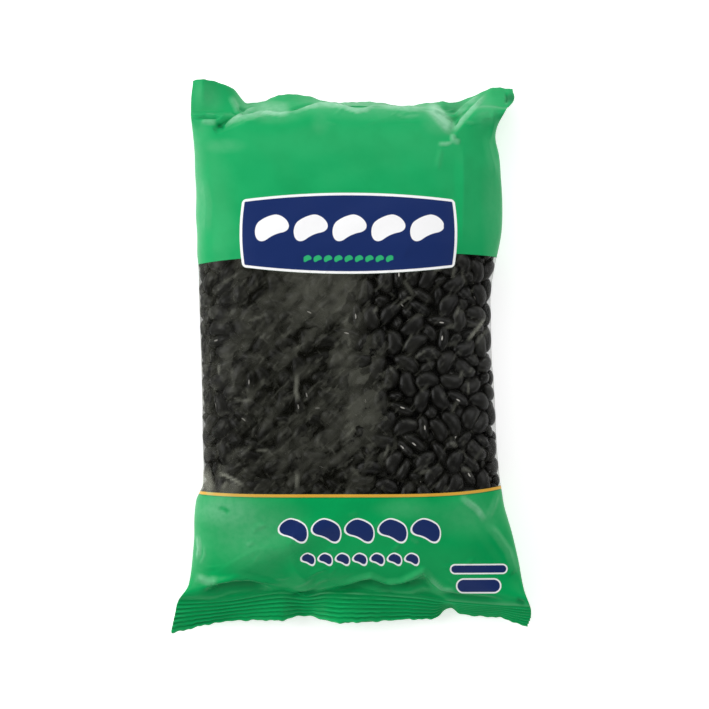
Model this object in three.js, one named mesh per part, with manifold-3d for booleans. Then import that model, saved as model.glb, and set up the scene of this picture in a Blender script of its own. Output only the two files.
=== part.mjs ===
// A pillow bag of dried black beans, lying on its back with its printed front up.
// X runs across the bag, Y along it towards the top seal, and Z up from the table, in millimetres.
// Two pieces: the printed film, solid at both ends with a panel behind the window, and the beans,
// a heap with whole beans fused over its core in the window, which runs on a little behind the print.
import * as THREE from "three";
import { mergeVertices } from "three/addons/utils/BufferGeometryUtils.js";
import Module from "manifold-3d";

const wasm = await Module();
wasm.setup();

// The filled bag
const THICKNESS = 38;
const SIDE_HEIGHT = 17; // where the front film turns round into the back film
const CROWN_Y = 5; // the thickest place along the bag
const SAG = 1.5; // how far the back film would bulge below the table, which flattens it
const BACK_FULLNESS = 6; // how late the back film rises towards the seals
const HOLLOW = { share: 0.2, from: 30, to: 100 }; // thickness lost near the top, where fewer beans lie
const SIDE_BEND = 0.6; // share of the way to a seal where the side line leaves its height
const ENDING = 0.85; // share of the way to a seal where the section starts to flatten
const FIN_HALF = 0.6; // half the thickness of a sealed fin

// Each seal has the height and length of its fin, and the rows of root give [across, along] where
// the fin starts. The rows of reach give [across, how far the drooping fin reaches seen from above].
const BOTTOM_SEAL = {
  y: -97,
  z: 13.5,
  length: 13.4,
  direction: -1,
  fullness: [3.2, 1.6],
  root: [[-71, -98.3], [-50, -97.3], [-28, -94], [-18, -95.4], [-9, -94], [26, -96], [41, -98.4],
    [71, -100.7]],
  reach: [[-71, 13], [-60, 10.9], [-54, 10.2], [-48, 9.6], [-28, 12.4], [-19, 9.4], [-9, 12.6], [2, 13],
    [15, 11.4], [21, 10.7], [28, 10.1], [34, 8.2], [40, 2.8], [44, 5.2], [60, 5.4], [67, 7.6], [71, 8.4]],
};
const TOP_SEAL = {
  y: 98,
  z: 16,
  length: 13.2,
  direction: 1,
  fullness: [6, 2],
  root: [[-64, 97.6], [-33, 97], [-12, 99.6], [28, 98.5], [41, 96], [52, 100], [64, 99]],
  reach: [[-64, 12.4], [-59, 13.1], [-54, 12.3], [-47, 10], [-44.4, 6.8], [-42, 4.6], [-36, 4.8],
    [-28, 7.2], [-20, 5.8], [-9, 2.2], [11, 2.2], [20, 1.2], [25, 1.6], [33, 4], [37, 5.6], [51, 5],
    [57, 7.6], [64, 8]],
};
const RIBS = 7; // crimped ribs along each seal
const RIB_HEIGHT = 0.25;

// The two sides seen from above, as [along, across]
const LEFT_EDGE = [[-109, -71.8], [-103, -70.4], [-97, -69], [-91, -64.8], [-74, -62.8], [-58, -61.8],
  [-51, -59.2], [-40, -59.2], [22, -60.8], [80, -62.4], [97, -63.8], [104, -63.8], [110, -63.2]];
const RIGHT_EDGE = [[-109, 71.2], [-103, 72.4], [-97, 72], [-91, 69.4], [-74, 65.4], [-57, 61],
  [-10, 57.8], [22, 56.4], [34, 57.8], [50, 60.4], [66, 60.6], [80, 59.4], [89, 58.2], [97, 62.2],
  [104, 65.6], [110, 65.2]];
const LEFT_SQUARENESS = 5; // how boxy each side of the section is
const RIGHT_SQUARENESS = 3.4;
const SIDE_TURN = THREE.MathUtils.degToRad(87); // the front film ends here, short of the side line

// Folds in the front film, each from its point to its deep end and fading out beyond it. An end is
// [across, along, half width, depth], and a ridge has a negative depth.
const FOLDS = [
  { from: [40.2, 87, 1, 0], to: [40.5, 103, 13.5, 16], sharp: true },
  { from: [-54, 89.5, 2, 1], to: [-38, 101, 6, 8], sharp: true },
  { from: [-40, -88, 4, 0], to: [-42, -97, 20, 4], sharp: false },
  { from: [8, -88, 4, 0], to: [4, -96, 15, 3.5], sharp: false },
  { from: [29, -85, 3, 0], to: [31, -97, 11, 4], sharp: false },
  { from: [-54, -92, 6, -1], to: [-24, -76, 8, -1.5], sharp: false },
  { from: [66, -86, 5, -1], to: [46, -58, 6, -1.2], sharp: false },
];

// The clear window's two edges, each a height and the terms in powers of x / halfSpan that bend it,
// and the foot of the label that hangs over its top edge, as [across, along]
const WINDOW = { top: [40, 1.3, 0, 0, -2.2], foot: [-55.1, 0, 0, 1.05, 2.03], halfSpan: 60, reach: 80 };
const LABEL_FOOT = [[-43, 34.8], [-20, 32.8], [19, 32.8], [41, 34.8]];
const PANEL = 3.2; // the film and beans kept behind the window
const GAP = 0.3; // between the film and the beans
const ROOM_ABOVE = 60;

// The seam down the back, a folded strip between two grooves
const SEAM = { left: -6, right: 5, groove: 0.8, depth: 0.5 };

// The beans
const BEAN = { length: 11, width: 7.2, thickness: 5.2, bend: 0.9 };
const BEAN_SPACING = { along: 10.3, across: 9.3 };
const BEAN_ROWS = { first: -50.4, last: 33 }; // along the bag
const BEAN_SIDES = 6;
const BEAN_RINGS = 3;
const BEAN_SIZES = [0.92, 1.06];
const BEAN_ROLL = 0.5; // the most that a bean rolls about its length, in radians
const BEAN_TIP = 0.25; // the most that an end is tipped up
const BEAN_STRAY = 1.5; // how far a bean lies off its row
const BEAN_COVER = THREE.MathUtils.degToRad(120); // the beans reach past each side to here
const CORE_DEPTH = 2.8; // the heap's core under the film
const CORE_ENDS = [-64, 49]; // it runs on this far behind the print
const SEED = 20;

// The grids of the film and of the core under the beans
const COLUMNS = 26;
const BODY_ROWS = 23;
const CORE_COLUMNS = 12;
const CORE_ROWS = 6;

const { clamp, lerp, smoothstep } = THREE.MathUtils;

// A smooth curve through [place, value] rows, read at one place
function through(rows, at) {
  let i = 1;
  while (i < rows.length - 1 && rows[i][0] < at) i++;
  const slopeAt = (k) => {
    const before = rows[Math.max(k - 1, 0)];
    const after = rows[Math.min(k + 1, rows.length - 1)];
    return (after[1] - before[1]) / (after[0] - before[0]);
  };
  const span = rows[i][0] - rows[i - 1][0];
  const t = clamp((at - rows[i - 1][0]) / span, 0, 1);
  const start = (1 + 2 * t) * (1 - t) ** 2 * rows[i - 1][1] + t * (1 - t) ** 2 * span * slopeAt(i - 1);
  const end = t * t * (3 - 2 * t) * rows[i][1] + t * t * (t - 1) * span * slopeAt(i);
  return start + end;
}

// How deep the folds press the front film at one place
function foldDepth(x, y) {
  let depth = 0;
  for (const { from, to, sharp } of FOLDS) {
    const along = [to[0] - from[0], to[1] - from[1]];
    const length = Math.hypot(...along);
    const t = ((x - from[0]) * along[0] + (y - from[1]) * along[1]) / length ** 2;
    if (t < 0 || t > 2) continue;
    const share = Math.min(t, 1);
    const fade = Math.min(2 - t, 1);
    const away = Math.abs((x - from[0]) * along[1] - (y - from[1]) * along[0]) / length;
    const near = 1 - Math.min(away / lerp(from[2], to[2], share), 1);
    depth += fade * lerp(from[3], to[3], share) * (sharp ? near : near * near * (3 - 2 * near));
  }
  return depth;
}

// A point of the film: phi is 0 along the top of the front, a quarter turn at each side, and
// beyond that on the back. s runs along the bag, and past each seal's root out along its fin.
function filmPoint(phi, s) {
  const seal = s > CROWN_Y ? TOP_SEAL : BOTTOM_SEAL;
  const across = Math.sin(phi);
  const front = Math.cos(phi) > 0;
  const x = lerp(through(LEFT_EDGE, s), through(RIGHT_EDGE, s), (across + 1) / 2);
  const body = clamp(s, BOTTOM_SEAL.y, TOP_SEAL.y);
  const away = Math.abs((body - CROWN_Y) / (seal.y - CROWN_Y));
  const ending = smoothstep(away, ENDING, 1);

  const middle = lerp(SIDE_HEIGHT, seal.z, smoothstep(away, SIDE_BEND, 1));
  const [power, rootPower] = seal.fullness;
  const dome = Math.pow(1 - away ** power, 1 / rootPower);
  const slack = 1 - HOLLOW.share * smoothstep(body, HOLLOW.from, HOLLOW.to);
  const squareness = across < 0 ? LEFT_SQUARENESS : RIGHT_SQUARENESS;
  const round = lerp(Math.sqrt(1 - Math.abs(across) ** squareness), 1, ending ** 3);
  const y = body + (through(seal.root, x) - seal.y) * ending;

  let side = -Math.max((middle + SAG) * Math.sqrt(1 - away ** BACK_FULLNESS) * round, FIN_HALF);
  if (front) {
    const height = (seal.z + (THICKNESS - seal.z) * dome * slack - middle) * round;
    side = Math.max(height - foldDepth(x, y), FIN_HALF);
  }
  const out = Math.abs(s - body);
  if (out === 0) return new THREE.Vector3(x, y, Math.max(middle + side, 0));

  const droop = Math.acos(clamp(through(seal.reach, x) / seal.length, 0, 1));
  const lift = side - RIB_HEIGHT * Math.cos((2 * Math.PI * RIBS * out) / seal.length);
  return new THREE.Vector3(
    x,
    y + seal.direction * (Math.cos(droop) * out + Math.sin(droop) * lift),
    middle - Math.sin(droop) * out + Math.cos(droop) * lift,
  );
}

// The direction out of the film at a point
function filmNormal(phi, s) {
  const step = 0.01;
  const alongX = filmPoint(phi + step, s).sub(filmPoint(phi - step, s));
  const alongY = filmPoint(phi, s + 1).sub(filmPoint(phi, s - 1));
  return alongX.cross(alongY).normalize();
}

// The stations along the whole bag, closer together near the seals, two to each rib on the fins
function stations() {
  const half = (seal) => seal.length / (2 * RIBS);
  const list = [];
  for (let i = 2 * RIBS; i > 0; i--) list.push(BOTTOM_SEAL.y - i * half(BOTTOM_SEAL));
  for (let i = 0; i <= BODY_ROWS; i++) {
    const even = i / BODY_ROWS;
    const crowded = (1 - Math.cos(Math.PI * even)) / 2;
    list.push(lerp(BOTTOM_SEAL.y, TOP_SEAL.y, (even + crowded) / 2));
  }
  for (let i = 1; i <= 2 * RIBS; i++) list.push(TOP_SEAL.y + i * half(TOP_SEAL));
  return list;
}

// A closed solid wrapped by the film between the first and last station, or by a skin under it
function filmSolid(along, columns, under) {
  const rows = along.length - 1;
  const box = new THREE.BoxGeometry(2, 2, 2, columns, rows, 1);
  const place = box.attributes.position;
  for (let i = 0; i < place.count; i++) {
    const turn = place.getX(i) * SIDE_TURN;
    const phi = place.getZ(i) > 0 ? turn : Math.PI - turn;
    const s = along[Math.round(((place.getY(i) + 1) / 2) * rows)];
    const point = filmPoint(phi, s);
    if (under > 0) point.addScaledVector(filmNormal(phi, s), -under);
    place.setXYZ(i, point.x, point.y, point.z);
  }
  return solidOf(box);
}

// A geometry as a closed solid that can be joined and cut
function solidOf(geometry) {
  geometry.deleteAttribute("normal");
  geometry.deleteAttribute("uv");
  const merged = mergeVertices(geometry, 1e-3);
  return new wasm.Manifold(
    new wasm.Mesh({
      numProp: 3,
      vertProperties: new Float32Array(merged.attributes.position.array),
      triVerts: new Uint32Array(merged.index.array),
    }),
  );
}

// The window's edge at one place across the bag
function windowEdge(terms, x) {
  return terms.reduceRight((bent, term) => (bent * x) / WINDOW.halfSpan + term, 0);
}

// The space over the window, drawn in by a gap on each side
function windowSpace(gap) {
  const { top, foot, reach } = WINDOW;
  const edge = (x) => new THREE.Vector2(x, windowEdge(top, x) - gap);
  const [left] = LABEL_FOOT[0];
  const [right] = LABEL_FOOT.at(-1);
  const corners = [edge(-reach), edge((left - reach) / 2), edge(left - gap)];
  for (const [x, y] of LABEL_FOOT) corners.push(new THREE.Vector2(x + Math.sign(x) * gap, y - gap));
  corners.push(edge(right + gap), edge((right + reach) / 2), edge(reach));
  const steps = 8;
  for (let i = 0; i <= steps; i++) {
    const x = lerp(reach, -reach, i / steps);
    corners.push(new THREE.Vector2(x, windowEdge(foot, x) + gap));
  }
  const geometry = new THREE.ExtrudeGeometry(new THREE.Shape(corners), {
    depth: ROOM_ABOVE,
    bevelEnabled: false,
  });
  return solidOf(geometry.translate(0, 0, PANEL + gap));
}

// The core of the heap, or with a gap the hollow in the film that it lies in
function heapCore(gap) {
  const [low, high] = CORE_ENDS;
  const along = [];
  for (let i = 0; i <= CORE_ROWS; i++) along.push(lerp(low - gap, high + gap, i / CORE_ROWS));
  return filmSolid(along, CORE_COLUMNS, CORE_DEPTH - gap);
}

// One groove of the back seam
function seamGroove(x) {
  const length = TOP_SEAL.y - BOTTOM_SEAL.y;
  const groove = new THREE.BoxGeometry(SEAM.groove, length, 2 * SEAM.depth);
  return solidOf(groove.translate(x, (TOP_SEAL.y + BOTTOM_SEAL.y) / 2, 0));
}

// The printed film: the whole pillow less its window, the heap's hollow and the grooves of its seam
function printedBag() {
  return filmSolid(stations(), COLUMNS, 0)
    .subtract(windowSpace(0))
    .subtract(heapCore(GAP))
    .subtract(seamGroove(SEAM.left))
    .subtract(seamGroove(SEAM.right));
}

// A repeatable random number from 0 to 1
function randomSource(seed) {
  let state = seed;
  return () => {
    state = (Math.imul(state, 1664525) + 1013904223) >>> 0;
    return state / 2 ** 32;
  };
}

// One kidney-shaped bean lying under the film, turned and tipped at random
function beanUnder(phi, s, random) {
  const bean = new THREE.SphereGeometry(1, BEAN_SIDES, BEAN_RINGS).rotateZ(Math.PI / 2);
  const size = lerp(...BEAN_SIZES, random());
  const place = bean.attributes.position;
  for (let i = 0; i < place.count; i++) {
    const lengthwise = place.getX(i);
    const y = place.getY(i) * (BEAN.width / 2) - BEAN.bend * lengthwise ** 2;
    place.setXYZ(i, lengthwise * (BEAN.length / 2), y, place.getZ(i) * (BEAN.thickness / 2));
  }
  bean.scale(size, size, size);
  bean.rotateX(lerp(-BEAN_ROLL, BEAN_ROLL, random()));
  bean.rotateY(lerp(-BEAN_TIP, BEAN_TIP, random()));
  bean.rotateZ(lerp(0, Math.PI, random()));

  const normal = filmNormal(phi, s);
  const turn = new THREE.Quaternion().setFromUnitVectors(new THREE.Vector3(0, 0, 1), normal);
  const depth = GAP + BEAN.thickness / 2;
  const centre = filmPoint(phi, s).addScaledVector(normal, -depth);
  return solidOf(bean.applyQuaternion(turn).translate(centre.x, centre.y, centre.z));
}

// Places over the window in staggered rows, from side to side and evenly spaced along the film
function beanPlaces(random) {
  const places = [];
  const steps = 240;
  let odd = false;
  for (let s = BEAN_ROWS.first; s < BEAN_ROWS.last; s += BEAN_SPACING.along) {
    let travelled = odd ? BEAN_SPACING.across / 2 : 0;
    let last = filmPoint(-BEAN_COVER, s);
    for (let i = 1; i <= steps; i++) {
      const phi = lerp(-BEAN_COVER, BEAN_COVER, i / steps);
      const here = filmPoint(phi, s);
      travelled += here.distanceTo(last);
      last = here;
      if (travelled < BEAN_SPACING.across) continue;
      travelled = 0;
      places.push([phi, s + lerp(-BEAN_STRAY, BEAN_STRAY, random())]);
    }
    odd = !odd;
  }
  return places;
}

// The largest of a few solids, without the slivers that a cut leaves
function largest(solids) {
  return solids.reduce((best, solid) => (solid.volume() > best.volume() ? solid : best));
}

// The beans: a core under the film, and over it whole beans cut to the window
function beanHeap() {
  const random = randomSource(SEED);
  const beans = beanPlaces(random).map(([phi, s]) => beanUnder(phi, s, random));
  const shown = wasm.Manifold.union(beans).intersect(windowSpace(GAP));
  return largest(heapCore(0).add(shown).decompose());
}

// A named mesh of a solid
function meshOf(name, solid, material) {
  const { vertProperties, triVerts } = solid.getMesh();
  const geometry = new THREE.BufferGeometry();
  geometry.setAttribute("position", new THREE.BufferAttribute(vertProperties, 3));
  geometry.setIndex(new THREE.BufferAttribute(triVerts, 1));
  geometry.computeVertexNormals();
  const mesh = new THREE.Mesh(geometry, material);
  mesh.name = name;
  return mesh;
}

const printedFilm = new THREE.MeshStandardMaterial({ color: 0x2aab68, roughness: 0.38, metalness: 0 });
const blackBean = new THREE.MeshStandardMaterial({ color: 0x1c1b18, roughness: 0.35, metalness: 0 });

const group = new THREE.Group();
group.add(meshOf("bag", printedBag(), printedFilm));
group.add(meshOf("beans", beanHeap(), blackBean));

export default group;
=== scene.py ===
"""A pillow bag of dried black beans, lying on its back with its printed front and window up.

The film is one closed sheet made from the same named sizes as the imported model. Its window is clear,
and loose beans settled against it show through. All sizes are millimetres until a mesh is made.
"""

import bpy
import numpy as np
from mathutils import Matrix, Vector
from mathutils.bvhtree import BVHTree


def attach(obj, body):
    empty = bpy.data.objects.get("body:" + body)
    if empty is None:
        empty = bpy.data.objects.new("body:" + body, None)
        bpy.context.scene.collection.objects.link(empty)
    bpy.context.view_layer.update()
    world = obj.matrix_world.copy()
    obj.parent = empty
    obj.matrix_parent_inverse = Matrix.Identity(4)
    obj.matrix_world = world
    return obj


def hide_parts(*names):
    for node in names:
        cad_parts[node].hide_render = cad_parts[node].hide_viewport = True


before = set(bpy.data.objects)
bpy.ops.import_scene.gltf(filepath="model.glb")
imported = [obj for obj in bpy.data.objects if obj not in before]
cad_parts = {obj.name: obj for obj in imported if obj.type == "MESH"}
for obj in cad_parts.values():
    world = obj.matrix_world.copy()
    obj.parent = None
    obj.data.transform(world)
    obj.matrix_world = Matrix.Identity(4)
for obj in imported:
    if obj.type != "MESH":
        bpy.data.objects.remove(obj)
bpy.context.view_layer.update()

MM = 0.001

# The photograph, and the place on the table under its middle
PHOTO_WIDTH = 709  # pixels
PIXEL = 0.4  # millimetres on the bag
PHOTO_MIDDLE = (1.6, 0.4)

# The filled bag
THICKNESS = 38
SIDE_HEIGHT = 17  # where the front film turns round into the back film
CROWN_Y = 5  # the thickest place along the bag
SAG = 1.5  # how far the back film would bulge below the table, which flattens it
BACK_FULLNESS = 6  # how late the back film rises towards the seals
HOLLOW = {"share": 0.2, "from": 30, "to": 100}  # thickness lost near the top, where fewer beans lie
SIDE_BEND = 0.6  # share of the way to a seal where the side line leaves its height
ENDING = 0.85  # share of the way to a seal where the section starts to flatten
FIN_HALF = 0.3  # half the thickness of a sealed fin
REST = 0.3  # the back film lies this far over the table, on its folded seam

# Each seal's rows of root give (across, along) where its fin starts, and its rows of reach give
# (across, how far the drooping fin reaches seen from above).
BOTTOM_SEAL = {
    "y": -97,
    "z": 13.5,
    "length": 13.4,
    "rib_height": 0.25,
    "direction": -1,
    "fullness": (3.2, 1.6),
    "root": [(-71, -98.3), (-50, -97.3), (-28, -94), (-18, -95.4), (-9, -94), (26, -96), (41, -98.4),
             (71, -100.7)],
    "reach": [(-71, 13), (-60, 10.9), (-54, 10.2), (-48, 9.6), (-28, 12.4), (-19, 9.4), (-9, 12.6),
              (2, 13), (15, 11.4), (21, 10.7), (28, 10.1), (34, 8.2), (40, 2.8), (44, 5.2), (60, 5.4),
              (67, 7.6), (71, 8.4)],
}
TOP_SEAL = {
    "y": 98,
    "z": 16,
    "length": 13.2,
    "rib_height": 0.02,
    "direction": 1,
    "fullness": (6, 2),
    "root": [(-64, 97.6), (-33, 97), (-12, 99.6), (28, 98.5), (41, 96), (52, 100), (64, 99)],
    "reach": [(-64, 12.4), (-59, 13.1), (-54, 12.3), (-47, 10), (-44.4, 6.8), (-42, 4.6), (-36, 4.8),
              (-28, 7.2), (-20, 5.8), (-9, 2.2), (11, 2.2), (20, 1.2), (25, 1.6), (33, 4), (37, 5.6),
              (51, 5), (57, 7.6), (64, 8)],
}
RIBS = 7

# The two sides seen from above, as (along, across)
LEFT_EDGE = [(-109, -71.8), (-103, -70.4), (-97, -69), (-91, -64.8), (-74, -62.8), (-58, -61.8),
             (-51, -59.2), (-40, -59.2), (22, -60.8), (80, -62.4), (97, -63.8), (104, -63.8),
             (110, -63.2)]
RIGHT_EDGE = [(-109, 71.2), (-103, 72.4), (-97, 72), (-91, 69.4), (-74, 65.4), (-57, 61), (-10, 57.8),
              (22, 56.4), (34, 57.8), (50, 60.4), (66, 60.6), (80, 59.4), (89, 58.2), (97, 62.2),
              (104, 65.6), (110, 65.2)]
LEFT_SQUARENESS = 5
RIGHT_SQUARENESS = 3.4

# Folds in the front film: point, deep end, and whether the fold is sharp. An end is
# (across, along, half width, depth), and a ridge has a negative depth.
FOLDS = [
    ((40.2, 87, 1, 0), (40.5, 103, 13.5, 16), True),
    ((-54, 89.5, 2, 1), (-38, 101, 6, 8), True),
    ((-40, -88, 4, 0), (-42, -97, 20, 4), False),
    ((8, -88, 4, 0), (4, -96, 15, 3.5), False),
    ((29, -85, 3, 0), (31, -97, 11, 4), False),
    ((-54, -92, 6, -1), (-24, -76, 8, -1.5), False),
    ((66, -86, 5, -1), (46, -58, 6, -1.2), False),
]

# The clear window's two edges, each a height and the terms in powers of x / half_span that bend it
WINDOW = {"top": (40, 1.3, 0, 0, -2.2), "foot": (-55.1, 0, 0, 1.05, 2.03), "half_span": 60}
PANEL = 3.2  # the printed back film comes this high up the sides
GOLD_LINE = 1.2
SEAM = {"left": -6, "right": 5, "thickness": 0.28}
LABEL = {"x": -0.8, "y": 48.5, "width": 86.4, "height": 32.2, "corner": 1.4, "border": 1,
         "side_bow": 1.6, "end_bow": 2.8}

# Drawn beans and bars in place of words. Those on the label are measured from its middle.
LABEL_ROW = {"x": 0, "y": 2.4, "count": 5, "spacing": 15.4, "length": 14, "width": 8.8, "tilt": 24}
SMALL_ROW = {"x": 0, "y": -10, "count": 9, "spacing": 4.1, "length": 3.4, "width": 2.3, "tilt": 24}
NAME_ROW = {"x": 4, "y": -69.4, "count": 5, "spacing": 13.2, "length": 11.4, "width": 7.6, "tilt": -24}
SECOND_ROW = {"x": 4, "y": -81, "count": 7, "spacing": 6.9, "length": 5.2, "width": 3.6, "tilt": -24}
WEIGHT_BARS = {"x": 51.2, "rows": [(-85.2, 22, 3), (-92, 17, 5)]}  # each row's place, width and height
FIGURE_EDGE = 0.6  # width of the white line round each figure

# Creases pressed into the film: points (across, along), half width, height, which is negative where a
# crease goes in, and tone, which is above 0 where the print is rubbed pale and lit by a painted highlight,
# and below 0 where painted shade darkens a fold.
TOP_CREASES = [
    ([(-26.2, 96), (-21.5, 97.6), (-16.8, 99.3), (-12.1, 100.4), (-7.4, 100.2), (-2.7, 99.3), (0.2, 98.3),
      (3, 97.5), (6.7, 98.3), (8.6, 99.3), (10.3, 100.7)], 1.2, 1.2, 0.9),
    ([(-37, 97), (-33.3, 96.9), (-28, 96.2), (-23, 97.2)], 1.2, 0.8, 0.7),
    ([(-40, 99.4), (-31, 99.5), (-23, 98.9)], 3.2, 0, 0.4),
    ([(-25.5, 97.6), (-19, 99.8), (-14, 101.2)], 1.1, -0.6, -0.2),
    ([(-7, 101), (-1, 99.9), (5, 99.7), (11, 101)], 1.6, -0.3, -0.12),
    ([(10, 99.8), (17, 99), (24, 98.2), (31, 98.8)], 1.2, 0.9, 0.6),
    ([(-51.4, 90.9), (-45, 95.3), (-36.9, 100.2)], 1.3, 1.1, 0.6),
    ([(-54, 90.2), (-51, 92.2), (-47, 95)], 0.9, -0.6, -0.5),
    ([(-49, 92.6), (-43, 94.9), (-38, 96.2), (-35, 97.5)], 1.3, 0.9, 0.55),
    ([(-53.6, 92.6), (-50, 90.4)], 0.9, -0.6, -0.5),
    ([(-63, 95), (-57, 95.2), (-51, 95.1)], 1.1, -1.3, -0.5),
    ([(-60, 93.6), (-53, 93)], 1.7, 0.8, 0.4),
    ([(-48.5, 104.5), (-46, 100), (-44.6, 96.6)], 1.6, 0.5, 0.35),
    ([(-45.4, 98.9), (-41.6, 97.8)], 1.4, -0.9, -0.5),
    ([(30.4, 101.6), (36, 95.5), (41.6, 88)], 3.4, 1, 0.8),
    ([(36, 100), (40, 98), (43.4, 97.4)], 2, -0.6, -0.45),
    ([(41.4, 95.4), (46, 99.7), (52.2, 104.6)], 1.2, 1.1, 0.65),
    ([(40.6, 88.6), (45.5, 94.7), (55.4, 105.6)], 1.2, 1.2, 0.65),
    ([(43, 95), (48, 99.6)], 1.4, 0, 0.35),
    ([(42.1, 91.4), (44.4, 94.8)], 0.8, -1.1, -0.7),
    ([(40.4, 88.6), (41, 85.8), (44.1, 84.6)], 1.5, 1, 0.5),
    ([(34.4, 84.3), (38, 84.2), (41, 85)], 1, 0.6, 0.5),
    ([(36.4, 83.4), (34.2, 73)], 1.9, 0.4, 0.04),
    ([(44.7, 86), (44.9, 66), (44.2, 40)], 4, 0.8, 0),
    ([(54, 90), (55.8, 80), (58.4, 70)], 2.4, 0.6, 0.06),
    ([(57, 100), (57, 92), (55, 84)], 2.2, 0.6, 0),
    ([(62.4, 105.6), (62.8, 103), (62.2, 100.6)], 1, -0.7, -0.5),
    ([(-59, 72), (-57, 60), (-58, 46)], 2.4, 0.5, 0.1),
]
LOW_CREASES = [
    ([(-58, -89), (-46, -82), (-37, -77), (-27, -77)], 8, 1.2, 0),
    ([(-25, -79), (-21, -86), (-16, -92)], 4, 0.7, 0),
    ([(-53, -60.6), (-50, -61.2), (-47.6, -63)], 1.3, -0.6, -0.3),
    ([(-63, -88), (-57, -90.2), (-52, -89.6)], 2.2, 0.7, 0.35),
    ([(-61, -71), (-60.5, -77), (-61, -82)], 1.3, 0.6, 0.4),
    ([(43, -55.6), (47, -58.4), (51, -61.8), (54, -66.5)], 1.6, 0.8, 0.45),
    ([(54, -66.5), (58, -71), (63, -78), (67, -90)], 2.2, 0.7, 0.15),
    ([(54, -66.5), (57, -60), (59, -54)], 1.8, 0.6, 0.1),
    ([(-63, -95), (-54, -90.6), (-46, -88.6), (-40, -88.8), (-33, -90.6), (-25, -92.4)], 2, 1.4, 0),
    ([(-22, -94.8), (-17, -94.8), (-10, -92.4), (-2, -91), (4, -88.8), (8, -88), (14, -90.6), (20, -90.4),
      (25, -88), (29, -85.8), (33, -89.8), (37, -93), (45, -94.8), (58, -96.8)], 2, 1.5, 0.1),
    ([(-61, -96), (-54, -93.4), (-47, -92), (-41, -91.6), (-36, -92.3), (-30, -93.2)], 2.8, -2.4, -0.6),
    ([(-25, -96), (-17.5, -95.4), (-12, -93.4)], 1.4, -1.2, -0.6),
    ([(-12, -93.6), (-2, -92.8), (5, -91), (8.5, -90.8), (16, -93.2), (24, -91.8), (29.4, -89.6),
      (34, -93.8)], 2.6, -2.2, -0.6),
    ([(34, -94.8), (42, -96.4), (52, -97.4), (63, -98)], 2, -1.6, -0.55),
    ([(66, -97.4), (70.6, -99.6)], 1.6, -0.8, -0.5),
    ([(30.6, -87.4), (36.6, -92.8), (43, -94.4)], 0.9, 0.5, 0.35),
]
# In the clear film a crease's tone paints a pale glint, a painted highlight
WINDOW_CREASES = [
    ([(46, 5), (50, 10), (55, 16)], 0.9, 0.6, 0.9),
    ([(49, 3), (53, 8.5), (57, 11)], 0.8, 0.5, 0.4),
    ([(-53.5, -46.8), (-50, -47.6), (-46, -49.6), (-41.5, -52.4)], 0.8, 0.6, 1),
    ([(-58.6, -44), (-57.6, -50), (-54, -56)], 2.6, 0.5, 0.6),
    ([(-21, -6), (-21.6, -14), (-20.6, -19)], 1.1, 0.5, 0.6),
    ([(-21, -46), (-21.4, -54)], 1.1, 0.5, 0.5),
]
# Short creases strewn at random: how many, across from and to, along from and to, the way they run and
# how much that varies, both in degrees, the greatest half width, and the greatest tone
STREWN = [
    (120, (-56, 56), (-53, 38), (40, 35), 1, 0.5),
    (30, (-58, 58), (92, 99), (8, 20), 1, 0.25),
    (26, (-62, 64), (-94, -60), (25, 35), 1.3, 0.12),
]
# Patches, as middle, half width, half height and strength: of painted reflection, a pale haze in the
# clear film, and of painted sheen where the print is paler, or painted shade where the strength is below 0
PAINTED_REFLECTION_PATCHES = [
    (-12, 26, 26, 20, 0.55), (4, -10, 12, 44, 0.5), (-53, -4, 9, 12, 0.15),
    (-58, -51, 4.5, 6, 1), (-48, -53, 6, 3.5, 1),
]
SHEEN_AND_SHADE_PATCHES = [
    (-52, -61, 20, 9, 0.25), (-40, -70, 30, 20, 0.2), (48, -64, 22, 12, 0.12), (22, -61, 16, 6, 0.12),
    (-61, -80, 7, 16, 0.12), (-62, 66, 6, 40, 0.2), (56, 60, 5, 30, 0.1), (-50, 83.5, 11, 4, 0.14),
    (-58, 103, 9, 9, 0.1), (-30, 96, 14, 5, 0.12), (-12, 92.5, 5, 6, 0.09), (10, 97, 36, 5, 0.12),
    (36, 94, 10, 8, 0.2), (54, 97, 8, 8, 0.15), (43.5, 99.6, 7, 4, -0.5), (64.4, 103.2, 2.4, 3, -1.2),
]
REFLECTION_EDGE = 6.5  # a straight fold down the window's upper half, with little of the painted reflection to its right
REFLECTION_EDGE_FOOT = 8  # how far down that fold comes
LEAST_REFLECTION = 0.03  # how much the painted reflection covers everywhere, from 0 to 1
LEFT_REFLECTION = 0.34  # and how much more on the window's left

# The beans and the space that they settle in
BEAN = {"length": 11, "width": 7.2, "thickness": 5.2, "bend": 0.9}
BALL = 2.55  # each bean settles as six balls of this radius
BALL_PLACES = [(x, y) for x in (-2.9, 0, 2.9) for y in (-1.0, 1.0)]
BEAN_COUNT = 640
HEAP_DEPTH = 11.5
HEAP_LOW = -62  # the beans run on under the print from here
HEAP_HIGH = 47  # to here
HEAP_REACH = 128  # degrees round from the middle of the front to the last beans on the back
CORE_DEPTH = 8  # the heap's dark core starts this far under the film
TRIES = 12  # places tried for each bean, of which it takes the one farthest from the other beans
UNEVEN_LIE = 0.6  # how far beans start off turned from lying flat against the film
SETTLING_ROUNDS = 160
PAIRING_ROUNDS = 8  # near pairs of beans are found again after this many rounds
PRESS = 0.06  # how far each round of settling presses the beans towards the film

# The film's drape over the beans
CLEARANCE = 0.12  # between the beans and the film
MOST_SINK = 2  # how far the clear film sinks between beans
SINKING_ROUNDS = 90
LOOSE_OUTSIDE = 4  # the film starts to sink this far outside the window's edge
LOOSE_INSIDE = 2  # and sinks in full this far inside it
BUMP_HEIGHT = 0.3  # of the low bumps in the printed film
CRIMP_HEIGHT = 0.16  # how much the bottom seal's ribs gain, unevenly along them
CRIMP_LIGHT_AND_SHADE = 0.4  # how much paler a painted highlight makes their crests, and how much darker painted shade makes their grooves
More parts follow.
